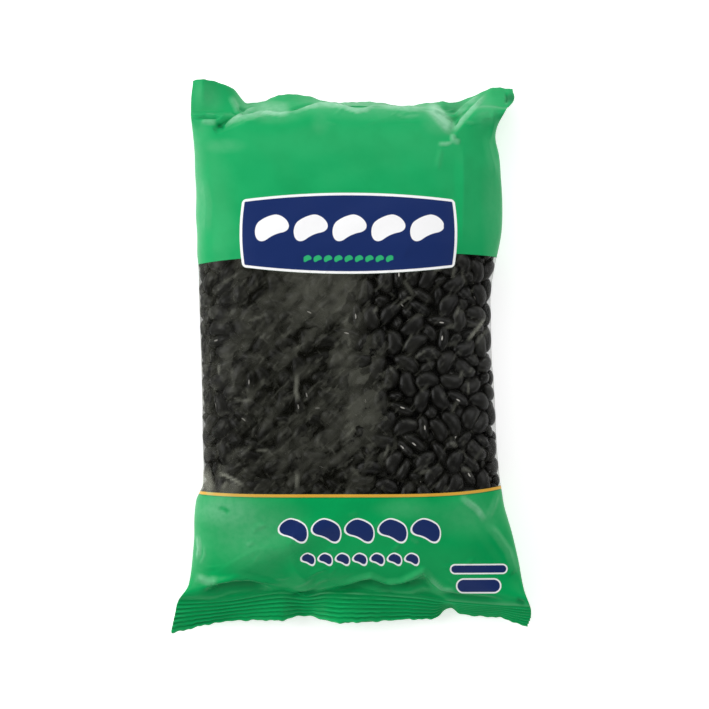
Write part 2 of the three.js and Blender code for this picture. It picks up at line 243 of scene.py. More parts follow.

# The grid of the film
FRONT_TO_BACK = 4
BACK_COLUMNS = 62
FRONT_COLUMNS = FRONT_TO_BACK * BACK_COLUMNS
BODY_ROWS = 240
BOTTOM_FIN_ROWS = 42
TOP_FIN_ROWS = 18
RAGGED = 0.35  # how far the bottom seal's cut edge strays, twice as far as the top seal's


def lerp(a, b, t):
    return a + (b - a) * t


def smoothstep(value, low, high):
    t = np.clip((value - low) / (high - low), 0, 1)
    return t * t * (3 - 2 * t)


def through(rows, at):
    """A smooth curve through (place, value) rows, read at an array of places."""
    place, value = np.array(rows, float).T
    index = np.arange(len(place))
    before = np.maximum(index - 1, 0)
    after = np.minimum(index + 1, len(place) - 1)
    slope = (value[after] - value[before]) / (place[after] - place[before])
    i = np.clip(np.searchsorted(place, at), 1, len(place) - 1)
    span = place[i] - place[i - 1]
    t = np.clip((at - place[i - 1]) / span, 0, 1)
    start = (1 + 2 * t) * (1 - t) ** 2 * value[i - 1] + t * (1 - t) ** 2 * span * slope[i - 1]
    end = t * t * (3 - 2 * t) * value[i] + t * t * (t - 1) * span * slope[i]
    return start + end


def fold_depth(x, y):
    """How deep the folds press the front film at each place."""
    depth = np.zeros_like(x)
    for start, end, sharp in FOLDS:
        along_x, along_y = end[0] - start[0], end[1] - start[1]
        length = np.hypot(along_x, along_y)
        t = ((x - start[0]) * along_x + (y - start[1]) * along_y) / length**2
        share = np.clip(t, 0, 1)
        fade = np.where(t < 0, 0, np.clip(2 - t, 0, 1))
        away = np.abs((x - start[0]) * along_y - (y - start[1]) * along_x) / length
        near = 1 - np.minimum(away / lerp(start[2], end[2], share), 1)
        shape = near if sharp else near * near * (3 - 2 * near)
        depth += fade * lerp(start[3], end[3], share) * shape
    return depth


def section(s):
    """Side line height, and the heights of the front and back film from it, where the bag is full."""
    upper = s > CROWN_Y
    body = np.clip(s, BOTTOM_SEAL["y"], TOP_SEAL["y"])
    seal_y, seal_z, power, root_power = (
        np.where(upper, top, bottom)
        for top, bottom in zip(
            (TOP_SEAL["y"], TOP_SEAL["z"], *TOP_SEAL["fullness"]),
            (BOTTOM_SEAL["y"], BOTTOM_SEAL["z"], *BOTTOM_SEAL["fullness"]),
        )
    )
    away = np.abs((body - CROWN_Y) / (seal_y - CROWN_Y))
    middle = lerp(SIDE_HEIGHT, seal_z, smoothstep(away, SIDE_BEND, 1))
    dome = np.maximum(1 - away**power, 0) ** (1 / root_power)
    slack = 1 - HOLLOW["share"] * smoothstep(body, HOLLOW["from"], HOLLOW["to"])
    front = seal_z + (THICKNESS - seal_z) * dome * slack - middle
    back = (middle + SAG) * np.sqrt(np.maximum(1 - away**BACK_FULLNESS, 0))
    return body, away, middle, front, back


def film_point(phi, s):
    """Points of the film. phi is 0 along the top of the front, a quarter turn at each side, and beyond
    that on the back. s runs along the bag, and past each seal's root out along its fin."""
    phi, s = np.broadcast_arrays(np.asarray(phi, float), np.asarray(s, float))
    across = np.sin(phi)
    front_side = np.cos(phi) > 0
    x = lerp(through(LEFT_EDGE, s), through(RIGHT_EDGE, s), (across + 1) / 2)
    body, away, middle, front, back = section(s)
    ending = smoothstep(away, ENDING, 1)
    squareness = np.where(across < 0, LEFT_SQUARENESS, RIGHT_SQUARENESS)
    round_off = np.sqrt(np.maximum(1 - np.abs(across) ** squareness, 0))
    round_off = lerp(round_off, 1, ending**3)

    upper = s > CROWN_Y

    def pick(key):
        return np.where(upper, TOP_SEAL[key], BOTTOM_SEAL[key])

    def curve(key):
        return np.where(upper, through(TOP_SEAL[key], x), through(BOTTOM_SEAL[key], x))

    y = body + (curve("root") - pick("y")) * ending

    under = -np.maximum(back * round_off, FIN_HALF)
    over = np.maximum(front * round_off - fold_depth(x, y), FIN_HALF)
    side = np.where(front_side, over, under)
    out = np.abs(s - body)
    z = np.where(out == 0, np.maximum(middle + side, REST), middle)

    droop = np.arccos(np.clip(curve("reach") / pick("length"), 0, 1))
    rib = pick("rib_height") * np.cos(2 * np.pi * RIBS * out / pick("length"))
    lift = np.where(out > 0, side - rib, 0)
    y = y + pick("direction") * (np.cos(droop) * out + np.sin(droop) * lift)
    z = z - np.sin(droop) * out + np.cos(droop) * lift
    return np.stack([x, y, z], -1)


def blur(values, times):
    """Evens out a grid whose columns run all the way round."""
    for _ in range(times):
        values = (np.roll(values, 1, 1) + 2 * values + np.roll(values, -1, 1)) / 4
        padded = np.concatenate([values[:1], values, values[-1:]])
        values = (padded[:-2] + 2 * values + padded[2:]) / 4
    return values


def grid_normals(points):
    """Outward normals of a grid of points whose columns run all the way round."""
    round_way = np.roll(points, -1, 1) - np.roll(points, 1, 1)
    long_way = np.gradient(points, axis=0)
    normals = np.cross(round_way, long_way)
    return normals / np.maximum(np.linalg.norm(normals, axis=-1, keepdims=True), 1e-9)


def mesh_object(name, points, faces):
    """A smooth mesh object at the origin, from points in millimetres."""
    mesh = bpy.data.meshes.new(name)
    mesh.from_pydata((np.reshape(points, (-1, 3)) * MM).tolist(), [], faces)
    mesh.validate()
    mesh.shade_smooth()
    made = bpy.data.objects.new(name, mesh)
    bpy.context.scene.collection.objects.link(made)
    return made


# The beans


def film_gap(points):
    """How far points are outside the film in the window, less than 0 inside, and the way out."""
    x, y, z = points[..., 0], points[..., 1], points[..., 2]
    left, right = through(LEFT_EDGE, y), through(RIGHT_EDGE, y)
    _, _, middle, front, back = section(y)
    across = 2 * (x - left) / (right - left) - 1
    power = np.where(across < 0, LEFT_SQUARENESS, RIGHT_SQUARENESS)
    height = np.where(z > middle, front, back)
    rise = (z - middle) / height
    share = np.abs(across) ** power
    size = np.sqrt(share + rise**2) + 1e-9
    slope_x = power * np.abs(across) ** (power - 1) * np.sign(across) / ((right - left) * size)
    slope_z = rise / (height * size)
    steepness = np.hypot(slope_x, slope_z) + 1e-9
    way_out = np.stack([slope_x, np.zeros_like(x), slope_z], -1) / steepness[..., None]
    return (size - 1) / steepness, way_out


def keep_inside(balls):
    """Moves balls that reach past the film, the table, the core or the ends back in."""
    gap, way_out = film_gap(balls)
    too_far = np.maximum(gap + BALL + REST, 0) + np.minimum(gap + HEAP_DEPTH, 0)
    balls = balls - too_far[..., None] * way_out
    balls[..., 2] = np.maximum(balls[..., 2], BALL + 2 * REST)
    balls[..., 1] = np.clip(balls[..., 1], HEAP_LOW, HEAP_HIGH)
    return balls


def first_places(rng):
    """Bean places spread evenly through the space under the window, and a turn for each."""
    places = np.zeros((BEAN_COUNT, 3))
    for i in range(BEAN_COUNT):
        phi = np.radians(rng.uniform(-HEAP_REACH, HEAP_REACH, TRIES))
        s = rng.uniform(HEAP_LOW, HEAP_HIGH, TRIES)
        centre = film_point(phi, s)
        _, way_out = film_gap(centre)
        centre -= way_out * rng.uniform(BALL, HEAP_DEPTH, TRIES)[:, None]
        apart = np.linalg.norm(centre[:, None] - places[None, :i], axis=-1)
        places[i] = centre[np.argmax(apart.min(1, initial=np.inf))]
    _, way_out = film_gap(places)
    flat = way_out + UNEVEN_LIE * rng.normal(size=places.shape)
    flat /= np.linalg.norm(flat, axis=1, keepdims=True)
    long = np.cross(flat, rng.normal(size=places.shape))
    long /= np.linalg.norm(long, axis=1, keepdims=True)
    turns = np.stack([long, np.cross(flat, long), flat], -1)
    return places, turns


def settle(places, turns):
    """Pushes beans apart as rigid groups of balls until they rest on each other and the film."""
    half = BEAN["length"] / 2
    shape = np.array([(x, y - BEAN["bend"] * (x / half) ** 2, 0) for x, y in BALL_PLACES])
    shape -= shape.mean(0)
    for step in range(SETTLING_ROUNDS):
        balls = places[:, None] + shape @ np.swapaxes(turns, 1, 2)
        if step % PAIRING_ROUNDS == 0:
            apart = np.linalg.norm(places[:, None] - places[None], axis=-1)
            first, second = np.nonzero(np.triu(apart < BEAN["length"] + 2, 1))
        between = balls[first][:, :, None] - balls[second][:, None]
        distance = np.linalg.norm(between, axis=-1) + 1e-9
        push = 0.5 * np.maximum(2 * BALL - distance, 0) / distance
        shift = between * push[..., None]
        moved = np.zeros_like(balls)
        touched = np.zeros(balls.shape[:2])
        np.add.at(moved, first, shift.sum(2))
        np.add.at(moved, second, -shift.sum(1))
        np.add.at(touched, first, (push > 0).sum(2))
        np.add.at(touched, second, (push > 0).sum(1))
        outward = PRESS * film_gap(balls)[1]
        balls = keep_inside(balls + moved / np.maximum(touched, 1)[..., None] + outward)
        places = balls.mean(1)
        spread = np.swapaxes(balls - places[:, None], 1, 2) @ shape
        u, _, v = np.linalg.svd(spread)
        u[:, :, 2] *= np.sign(np.linalg.det(u @ v))[:, None]
        turns = u @ v
    return places, turns


def bean_shape(around=16, rings=11):
    """Points of one kidney-shaped bean, its faces, and each point's direction from its middle."""
    lengthwise = np.cos(np.linspace(0, np.pi, rings))[1:-1]
    turn = np.linspace(0, 2 * np.pi, around, endpoint=False)
    radius = np.sqrt(1 - lengthwise**2)
    a = np.repeat(lengthwise, around)
    b = np.outer(radius, np.cos(turn)).ravel()
    c = np.outer(radius, np.sin(turn)).ravel()
    way = np.stack([a, b, c], 1)
    way = np.vstack([way, (1, 0, 0), (-1, 0, 0)])
    a, b, c = way.T
    fuller = 1 + 0.12 * (1 - a**2) * a**2
    dent = 0.55 * np.exp(-((a / 0.4) ** 2)) * np.clip(-b, 0, 1) ** 2
    x = a * BEAN["length"] / 2
    y = b * BEAN["width"] / 2 * fuller - BEAN["bend"] * a**2 + dent
    z = c * BEAN["thickness"] / 2 * fuller
    faces = []
    for ring in range(rings - 3):
        for k in range(around):
            here = ring * around + k
            beside = ring * around + (k + 1) % around
            faces.append((here, beside, beside + around, here + around))
    last = (rings - 3) * around
    tips = len(way) - 2, len(way) - 1
    for k in range(around):
        beside = (k + 1) % around
        faces.append((tips[0], beside, k))
        faces.append((tips[1], last + k, last + beside))
    return np.stack([x, y, z], 1), faces, way


def bean_pile(rng):
    """All the beans as one mesh, with each point's direction in its bean and a shade for each bean."""
    places, turns = settle(*first_places(rng))
    shape, faces, way = bean_shape()
    sizes = rng.uniform(0.93, 1.04, (BEAN_COUNT, 1, 3))
    points = places[:, None] + (shape * sizes) @ np.swapaxes(turns, 1, 2)
    all_faces = [tuple(n + i * len(shape) for n in face) for i in range(BEAN_COUNT) for face in faces]
    pile = mesh_object("loose_beans", points, all_faces)
    local = pile.data.attributes.new("in_bean", "FLOAT_VECTOR", "POINT")
    local.data.foreach_set("vector", np.tile(way, (BEAN_COUNT, 1)).ravel())
    shade = pile.data.attributes.new("shade", "FLOAT", "POINT")
    shade.data.foreach_set("value", np.repeat(rng.uniform(0, 1, BEAN_COUNT), len(shape)))
    return pile, BVHTree.FromPolygons(points.reshape(-1, 3).tolist(), all_faces)


def heap_core():
    """The dark inside of the heap, a lumpy closed form under the loose beans."""
    columns, rows = 72, 48
    phi = np.linspace(-np.pi, np.pi, columns, endpoint=False)[None]
    s = np.linspace(HEAP_LOW, HEAP_HIGH, rows)[:, None]
    surface = film_point(phi, s)
    _, way_out = film_gap(surface)
    unevenness = np.sin(s * 0.7 + 2 * np.sin(phi * 9)) * np.cos(phi * 14)
    points = surface - way_out * (CORE_DEPTH - unevenness)[..., None]
    least_height = 2
    points[..., 2] = np.maximum(points[..., 2], least_height)
    faces = ring_faces(rows, columns)
    faces.append(tuple(range(columns))[::-1])
    faces.append(tuple((rows - 1) * columns + k for k in range(columns)))
    return mesh_object("heap_core", points, faces)


def ring_faces(rows, columns):
    """Quads of a grid whose columns run all the way round, facing out."""
    faces = []
    for row in range(rows - 1):
        for k in range(columns):
            beside = (k + 1) % columns
            here = row * columns
            beyond = here + columns
            faces.append((here + k, here + beside, beyond + beside, beyond + k))
    return faces


# The film


def film_rows():
    """Places along the film, closer together near the seals."""
    even = np.linspace(0, 1, BODY_ROWS + 1)
    crowded = (1 - np.cos(np.pi * even)) / 2
    body = lerp(BOTTOM_SEAL["y"], TOP_SEAL["y"], lerp(even, crowded, 0.35))
    bottom = body[0] - BOTTOM_SEAL["length"] * np.arange(BOTTOM_FIN_ROWS, 0, -1) / BOTTOM_FIN_ROWS
    top = body[-1] + TOP_SEAL["length"] * np.arange(1, TOP_FIN_ROWS + 1) / TOP_FIN_ROWS
    return np.concatenate([bottom, body, top])


def film_columns():
    """Places round the film, from left to right over the front and back again behind. The last term
    keeps them from crowding at the sides."""
    front = (2 * np.arange(FRONT_COLUMNS) + 1) / FRONT_COLUMNS - 1
    back = 1 - (2 * np.arange(BACK_COLUMNS) + 1) / BACK_COLUMNS
    front, back = (share - 0.2 * np.sin(np.pi * share) / np.pi for share in (front, back))
    return np.concatenate([front * np.pi / 2, np.pi - back * np.pi / 2])


def end_faces(start, flip):
    """Closes a fin's cut edge, joining its front film to its back film."""
    faces = []
    columns = FRONT_COLUMNS + BACK_COLUMNS
    for k in range(BACK_COLUMNS):
        front = list(range(FRONT_TO_BACK * k, min(FRONT_TO_BACK * (k + 1) + 1, FRONT_COLUMNS)))
        back = [columns - 1 - k] if k == BACK_COLUMNS - 1 else [columns - 2 - k, columns - 1 - k]
        faces.append([start + n for n in front + back])
    return [face[::-1] for face in faces] if flip else faces


def window_edge(terms, x):
    """The window's edge at x, which is an array or a field."""
    share = x * (1 / WINDOW["half_span"])
    bent = share * terms[-1]
    for term in terms[-2:0:-1]:
        bent = (bent + term) * share
    return bent + terms[0]


def strewn_creases(rng):
    """Short creases all over the film, most of them faint."""
    creases = []
    for count, across, along, (way, spread), half_width, tone in STREWN:
        for _ in range(count):
            x, y = rng.uniform(*across), rng.uniform(*along)
            turn = np.radians(rng.normal(way, spread))
            step = np.array([np.cos(turn), np.sin(turn)]) * rng.uniform(1.5, 5)
            bend = rng.uniform(-0.3, 0.3) * step[::-1]
            points = [(x, y) - step, (x, y) + bend, (x, y) + step]
            creases.append((points, rng.uniform(0.5, 1) * half_width, rng.uniform(0.2, 0.5),
                            tone * rng.uniform(0, 1) ** 3))
    return creases


def patched(x, y, patches):
    """How strong the soft-edged patches are at each place."""
    strength = np.zeros_like(x)
    for patch_x, patch_y, half_width, half_height, most in patches:
        away = np.hypot((x - patch_x) / half_width, (y - patch_y) / half_height)
        strength += most * (1 - np.minimum(away, 1) ** 2) ** 2
    return strength


def creased(x, y, creases):
    """How far the creases lift the film, and their tone, which is above 0 for pale wear and painted
    highlights and below 0 for painted shade. Each fades out at its ends.
    """
    height, tone = np.zeros_like(x), np.zeros_like(x)
    for points, half_width, lift, paleness in creases:
        nearest = np.full_like(x, np.inf)
        place = np.zeros_like(x)
        for i, (start, end) in enumerate(zip(points, points[1:])):
            along = np.subtract(end, start)
            t = ((x - start[0]) * along[0] + (y - start[1]) * along[1]) / (along @ along)
            t = np.clip(t, 0, 1)
            away = np.hypot(x - start[0] - t * along[0], y - start[1] - t * along[1])
            place = np.where(away < nearest, (i + t) / (len(points) - 1), place)
            nearest = np.minimum(away, nearest)
        ends = smoothstep(np.minimum(place, 1 - place), 0, 0.3)
        near = 1 - np.minimum(nearest / half_width, 1)
        height += lift * ends * near**1.5
        tone += paleness * ends * near * (2 - near)
    return height, tone


def lumps(x, y):
    """Low rounded bumps from -1 to 1, where loose beans press the printed film from behind."""
    waves = [(0.31, 0.12, 0.4), (-0.17, 0.35, 1.9), (0.08, -0.41, 3.1), (0.42, 0.27, 5.2),
             (0.25, -0.3, 2.2)]
    return sum(np.cos(a * x + b * y + c) for a, b, c in waves) / len(waves)


def room_over_beans(points, normals, beans):
    """How far each point of the film is over the nearest bean under it."""
    reach = 5
    room = np.full(points.shape[:2], float(reach))
    margin = 6
    near = (points[..., 1] > HEAP_LOW - margin) & (points[..., 1] < HEAP_HIGH + margin)
    for row, column in zip(*np.nonzero(near)):
        inward = Vector(-normals[row, column])
        hit = beans.ray_cast(Vector(points[row, column]) - reach * inward, inward, 2 * reach)
        if hit[0] is not None:
            room[row, column] = hit[3] - reach
    return room - CLEARANCE


def film_points(beans, rng):
    """The film's grid of points: its shape, its creases, and its drape over the beans in the window."""
    s = film_rows()[:, None]
    points = film_point(film_columns()[None], s)
    normals = grid_normals(points)
    x, y = points[..., 0], points[..., 1]
    foot, top = window_edge(WINDOW["foot"], x), window_edge(WINDOW["top"], x)
    over_foot = smoothstep(y, foot - LOOSE_OUTSIDE, foot + LOOSE_INSIDE)
    open_film = over_foot * (1 - smoothstep(y, top - LOOSE_INSIDE, top + LOOSE_OUTSIDE))
    room = room_over_beans(points, normals, beans)
    wanted = np.where(room < 0, room, np.minimum(room, MOST_SINK) * open_film)
    sink = wanted
    for _ in range(SINKING_ROUNDS):
        sink = np.minimum(blur(sink, 1), wanted)

    front_side = np.cos(film_columns())[None] > 0
    away = section(s)[1]
    full = 1 - smoothstep(away, 0.7, 1)  # the film lies against the beans, which thin out to the seals
    print_height, print_tone = creased(x, y, TOP_CREASES + LOW_CREASES)
    pane_height, pane_tone = creased(x, y, WINDOW_CREASES + strewn_creases(rng))
    both_films = smoothstep(away, 0.95, 1)  # a fin's two films are creased together
    crimp = crimped(x, s)
    print_height += CRIMP_HEIGHT * crimp
    height = print_height * np.where(front_side, 1, -both_films) + pane_height * front_side
    bumps = BUMP_HEIGHT * full * lumps(x, y) * (1 - open_film)
    lift = np.maximum(bumps - sink + height, -room)
    points = points + normals * (lift * smoothstep(points[..., 2], REST, 3))[..., None]
    points[..., 1] += ragged_edge(x, s)
    points[..., 2] = np.maximum(points[..., 2], REST)
    # Above 0 the tone is print rubbed pale with painted highlights, painted highlights on rib crests and
    # the cut edge, painted glints and painted sheen; below 0 it is painted shade in folds and grooves.
    tone = print_tone + pane_tone + CRIMP_LIGHT_AND_SHADE * crimp + cut_edge_highlight(x, s) + patched(x, y, SHEEN_AND_SHADE_PATCHES)
    return points, tone * front_side


def past_seals(s):
    """Shares of the way out along the top and the bottom fin."""
    top = np.maximum(s - TOP_SEAL["y"], 0) / TOP_SEAL["length"]
    bottom = np.maximum(BOTTOM_SEAL["y"] - s, 0) / BOTTOM_SEAL["length"]
    return top, bottom


def crimped(x, s):
    """The uneven ribs of the bottom seal, from -1 in a groove to 1 on a crest."""
    out = past_seals(s)[1]
    uneven = 0.65 + 0.35 * np.sin(0.21 * x + 3 * np.sin(0.09 * x) + 7 * out)
    return np.where(out > 0, -np.cos(2 * np.pi * RIBS * out) * uneven, 0)


def cut_edge_highlight(x, s):
    """Where the bottom seal's cut edge gets a painted highlight, patchy along it."""
    patchy = 0.5 + 0.5 * np.sin(0.5 * x + 2 * np.sin(0.23 * x))
    return smoothstep(past_seals(s)[1], 0.93, 1) * patchy


def ragged_edge(x, s):
    """How far a fin strays along the bag, most at its cut edge."""
    top, bottom = past_seals(s)
    waves = np.sin(0.31 * x) + np.sin(0.83 * x + 2) + np.sin(1.5 * x + 2 * np.sin(0.2 * x))
    return RAGGED * (0.5 * top**3 + bottom**3) * waves / 2


def film_sheet(beans, rng):
    points, tone = film_points(beans, rng)
    rows, columns = points.shape[:2]
    faces = ring_faces(rows, columns) + end_faces(0, True) + end_faces((rows - 1) * columns, False)
    film = mesh_object("film", points, faces)
    # Two attributes: pale wear with painted highlights and sheen, and painted shade.
    for name, amount in (("worn_and_highlight", tone), ("painted_shade", -tone)):
        shade = film.data.attributes.new(name, "FLOAT", "POINT")
        shade.data.foreach_set("value", np.clip(amount, 0, 1).ravel())
    return film


def back_seam():
    """The strip down the middle of the back, where the film's two edges are welded together."""
    s = np.linspace(BOTTOM_SEAL["y"] + 0.5, TOP_SEAL["y"] - 0.5, 160)[:, None]
    x = np.linspace(SEAM["left"], SEAM["right"], 7)[None]
    left, right = through(LEFT_EDGE, s), through(RIGHT_EDGE, s)
    phi = np.pi - np.arcsin(2 * (x - left) / (right - left) - 1)
    inner = film_point(phi, s)
    outer = inner.copy()
    outer[..., 2] -= SEAM["thickness"]
    points = np.concatenate([inner[:, ::-1], outer], 1)
    rows, columns = points.shape[:2]
    faces = ring_faces(rows, columns)
    faces.append(list(range(columns))[::-1])
    faces.append([(rows - 1) * columns + k for k in range(columns)])
    return mesh_object("back_seam", points, faces)


# Materials


class Field:
    """A number that changes over a surface, worked out by Math nodes."""

    def __init__(self, tree, source):
        self.tree = tree
        self.source = source

    def math(self, operation, *others):
        node = self.tree.nodes.new("ShaderNodeMath")
        node.operation = operation
        for socket, value in zip(node.inputs, (self, *others)):
            feed(self.tree, socket, value)
        return Field(self.tree, node.outputs[0])

    def __add__(self, other):
        return self.math("ADD", other)

    def __sub__(self, other):
        return self.math("SUBTRACT", other)

    def __mul__(self, other):
        return self.math("MULTIPLY", other)

    def __truediv__(self, other):
        return self.math("DIVIDE", other)

    def __neg__(self):
        return self * -1

    def size(self):
        return self.math("ABSOLUTE")

    def most(self, other):
        return self.math("MAXIMUM", other)

    def least(self, other):
        return self.math("MINIMUM", other)

    def length_with(self, other):
        return (self * self + other * other).math("SQRT")

    def repeat(self, span):
        return self.math("WRAP", span / 2, -span / 2)

    def step(self, low, high):
        """0 below low and 1 above high, eased between."""
        node = self.tree.nodes.new("ShaderNodeMapRange")
        node.interpolation_type = "SMOOTHSTEP"
        feed(self.tree, node.inputs["Value"], self)
        node.inputs["From Min"].default_value = low
        node.inputs["From Max"].default_value = high
        return Field(self.tree, node.outputs["Result"])

    def inside(self, softness=0.12):
        """1 where a distance is below 0."""
        return (-self).step(-softness, softness)


def feed(tree, socket, value):
    """Sets a socket to a value, or links it to a field or to another node's output."""
    if isinstance(value, Field):
        value = value.source
    if isinstance(value, bpy.types.NodeSocket):
        tree.links.new(value, socket)
    else:
        socket.default_value = value


def linear(red, green, blue):
    """A screen colour from 0 to 255 as linear light."""
    share = np.array([red, green, blue]) / 255
    light = np.where(share <= 0.04045, share / 12.92, ((share + 0.055) / 1.055) ** 2.4)
    return (*light.tolist(), 1)


# Colours, as linear light
GREEN = (0.01, 0.385, 0.12, 1)
# Darker towards the bottom: painted shade where the lower film faces away from the light
LOW_SHADED_GREEN = (0.0005, 0.36, 0.095, 1)
DEEP_GREEN = (0.001, 0.28, 0.075, 1)
# Painted shade in folds and grooves, and also the dark printed line along the gold line
SHADE_AND_LINE_GREEN = (0.001, 0.16, 0.05, 1)
# Painted highlight on the bottom seal's rib crests and cut edge
HIGHLIGHT_GREEN = (0.012, 0.62, 0.19, 1)
# Print rubbed pale on creases, together with a painted highlight
WORN_AND_HIGHLIGHT_GREEN = linear(140, 205, 165)
LEAF_GREEN = linear(50, 180, 115)
NAVY = linear(26, 46, 100)
WHITE = linear(252, 252, 253)
GOLD = linear(222, 168, 62)
# Painted reflection over the beans in the clear film, from its dark to its pale parts
DARK_REFLECTION = (0.01, 0.0102, 0.007, 1)
PALE_REFLECTION = (0.165, 0.168, 0.135, 1)
# Painted glints on the clear film's creases, fine streaks and slanting edges
GLINT_GREY = (0.5, 0.51, 0.42, 1)
DARKEST_BEAN = (0.0025, 0.0025, 0.0018, 1)
PALEST_BEAN = (0.007, 0.0068, 0.005, 1)
SCAR_WHITE = (0.62, 0.6, 0.55, 1)
CORE_BLACK = (0.008, 0.0075, 0.007, 1)
TABLE_WHITE = (0.82, 0.82, 0.82, 1)


def new_material(name):
    """A material with an empty node tree, and the place on the object that its textures read."""
    material = bpy.data.materials.new(name)
    material.use_nodes = True
    tree = material.node_tree
    tree.nodes.clear()
    return material, tree, tree.nodes.new("ShaderNodeTexCoord").outputs["Object"]


def add_node(tree, kind, **values):
    """A node with the named sockets fed."""
    node = tree.nodes.new(kind)
    for key, value in values.items():
        feed(tree, node.inputs[key.replace("_", " ")], value)
    return node


def attribute(tree, name, output):
    node = tree.nodes.new("ShaderNodeAttribute")
    node.attribute_name = name
    return node.outputs[output]


def paint(tree, under, over, cover):
    """The colour over where cover is 1, and the colour under elsewhere."""
    node = tree.nodes.new("ShaderNodeMix")
    node.data_type = "RGBA"
    for socket, value in ((node.inputs[6], under), (node.inputs[7], over), (node.inputs[0], cover)):
        feed(tree, socket, value)
    return node.outputs[2]


def blend(tree, share, first, second):
    """Two shaders mixed, the second by its share."""
    node = add_node(tree, "ShaderNodeMixShader", Fac=share)
    tree.links.new(first.outputs[0], node.inputs[1])
    tree.links.new(second.outputs[0], node.inputs[2])
    return node


def noise(tree, where, scale, detail=2.0, roughness=0.5):
    node = add_node(tree, "ShaderNodeTexNoise", Vector=where, Scale=scale, Detail=detail,
                    Roughness=roughness)
    return Field(tree, node.outputs["Fac"])


def rounded_box(x, y, width, height, corner):
    """Distance from the edge of a rounded rectangle, less than 0 inside."""
    out_x = x.size() - (width / 2 - corner)
    out_y = y.size() - (height / 2 - corner)
    outside = out_x.most(0).length_with(out_y.most(0))
    return outside + out_x.most(out_y).least(0) - corner


def bean_figure(x, y, length, width, tilt):
    """Distance from the edge of a drawn bean, tilted by some degrees."""
    cosine, sine = np.cos(np.radians(tilt)).item(), np.sin(np.radians(tilt)).item()
    along = (x * cosine + y * sine) / (length / 2)
    across = y * cosine - x * sine
    end = 0.44 * width
    past = (along.size() * (length / 2) - (length / 2 - end)).most(0)
    bent = (along * along - 0.3) * (width * 0.2) + across
    return past.length_with(bent) - end


def bean_row(x, y, row):
    """Distance from the edges of a row of drawn beans, which is odd in number."""
    across = x - row["x"]
    figure = bean_figure(across.repeat(row["spacing"]), y - row["y"], row["length"], row["width"],
                         row["tilt"])
    between = 0.7  # keeps half figures out at the row's ends
    return figure.most(across.size() - (row["count"] * row["spacing"] / 2 - between))


def print_layers(tree, where, x, y, front):
    """The printed colours: green, darker towards the bottom by painted shade, a gold line, a label, and
    figures of beans in place of words. With them come the label's own share of each place, and that of the
    label and the figures together."""
    uneven = noise(tree, where, 55, 3, 0.6).step(0.35, 0.7)
    # Painted shade: the green is darker towards the bottom
    colour = paint(tree, LOW_SHADED_GREEN, GREEN, y.step(-50, 50))
    colour = paint(tree, colour, DEEP_GREEN, uneven * 0.35)
    below = window_edge(WINDOW["foot"], x) - y
    gold = (below - GOLD_LINE / 2).size() - GOLD_LINE / 2
    # A dark printed line along both sides of the gold line
    colour = paint(tree, colour, SHADE_AND_LINE_GREEN, (gold - 0.35).inside() * 0.8)
    colour = paint(tree, colour, GOLD, gold.inside())

    label_x, label_y = x - LABEL["x"], y - LABEL["y"]
    side = label_y / (LABEL["height"] / 2)
    end = label_x / (LABEL["width"] / 2)
    plate = rounded_box(label_x.size() + side * side * LABEL["side_bow"],
                        label_y.size() + end * end * LABEL["end_bow"],
                        LABEL["width"], LABEL["height"], LABEL["corner"])
    label = plate.inside() * front
    colour = paint(tree, colour, WHITE, label)
    colour = paint(tree, colour, NAVY, (plate + LABEL["border"]).inside() * front)
    colour = paint(tree, colour, WHITE, bean_row(label_x, label_y, LABEL_ROW).inside() * front)
    colour = paint(tree, colour, LEAF_GREEN, bean_row(label_x, label_y, SMALL_ROW).inside() * front)

    bars = [rounded_box(x - WEIGHT_BARS["x"], y - bar_y, width, height, height / 2)
            for bar_y, width, height in WEIGHT_BARS["rows"]]
    inked = label
    for shape in (bean_row(x, y, NAME_ROW), bean_row(x, y, SECOND_ROW), *bars):
        edge = (shape - FIGURE_EDGE).inside() * front
        inked = inked.most(edge)
        colour = paint(tree, colour, WHITE, edge)
        colour = paint(tree, colour, NAVY, shape.inside() * front)
    return colour, label, inked


def drawn_out(tree, where, turn, stretch):
    """Places turned and squeezed, so that a texture read there is stretched along one direction."""
    mapping = add_node(tree, "ShaderNodeMapping", Vector=where)
    mapping.vector_type = "TEXTURE"
    mapping.inputs["Rotation"].default_value = (0, 0, np.radians(turn))
    mapping.inputs["Scale"].default_value = (stretch, 1, 1)
    return mapping.outputs[0]


def streaks(tree, where, scale, turn):
    """Noise drawn out along one direction, as film crinkles are."""
    return noise(tree, drawn_out(tree, where, turn, 3), scale, 3)


def facets(tree, where, scale, turn):
    """Crumpled facets drawn out along one direction: how far from each one's middle, and its own shade."""
    bent = add_node(tree, "ShaderNodeTexNoise", Vector=where, Scale=260, Detail=2.0)
    strayed = tree.nodes.new("ShaderNodeVectorMath")
    strayed.operation = "MULTIPLY_ADD"
    tree.links.new(bent.outputs["Color"], strayed.inputs[0])
    strayed.inputs[1].default_value = (0.006, 0.006, 0.006)
    tree.links.new(where, strayed.inputs[2])
    turned = drawn_out(tree, strayed.outputs[0], turn, 2)
    cells = add_node(tree, "ShaderNodeTexVoronoi", Vector=turned, Scale=scale)
    shade = add_node(tree, "ShaderNodeSeparateColor", Color=cells.outputs["Color"])
    return Field(tree, cells.outputs["Distance"]), Field(tree, shade.outputs[0])


